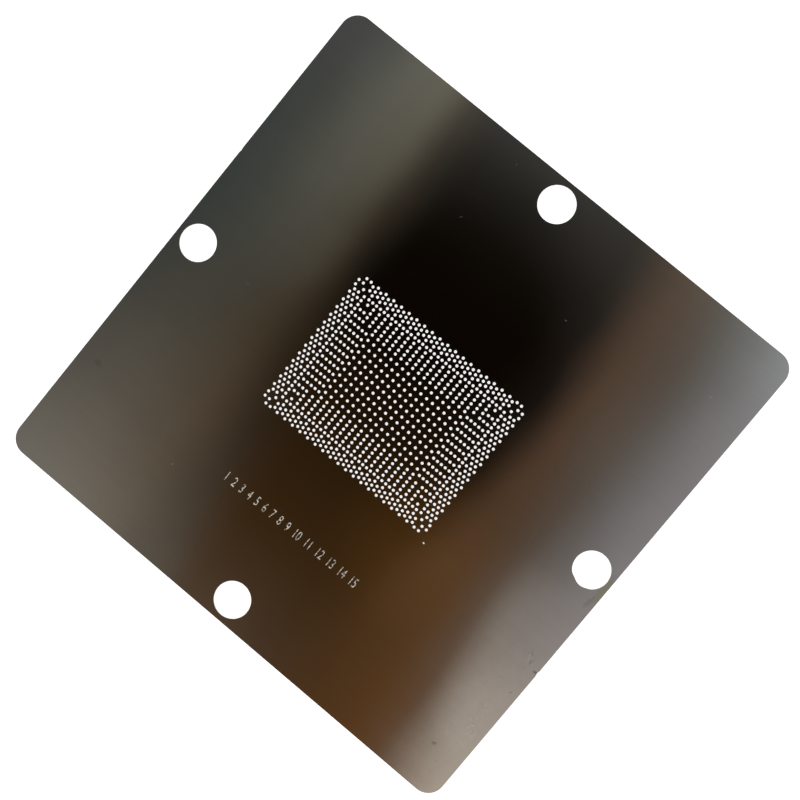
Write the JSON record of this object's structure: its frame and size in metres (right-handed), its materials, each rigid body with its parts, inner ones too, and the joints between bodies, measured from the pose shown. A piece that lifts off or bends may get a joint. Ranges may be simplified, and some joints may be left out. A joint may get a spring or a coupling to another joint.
{
  "type": "bga reballing stencil",
  "caption": "Thin square steel sheet with rounded corners, a locating hole at each side and a field of fine round apertures that place solder balls on a chip package.",
  "frame": {"origin": "centre of the sheet on its underside", "axes": "+Z through the sheet to its marked upper face, +X along the long side of the aperture field, +Y across it; the index hole is beside the +X, -Y corner of the field"},
  "size_m": [0.09, 0.09, 0.0003],
  "materials": {
    "stainless_sheet": "cold-rolled stainless sheet, half bright, with fine handling marks and specks"
  },
  "bodies": {
    "root": {"stencil_sheet": "stainless_sheet"}
  },
  "joints": []
}
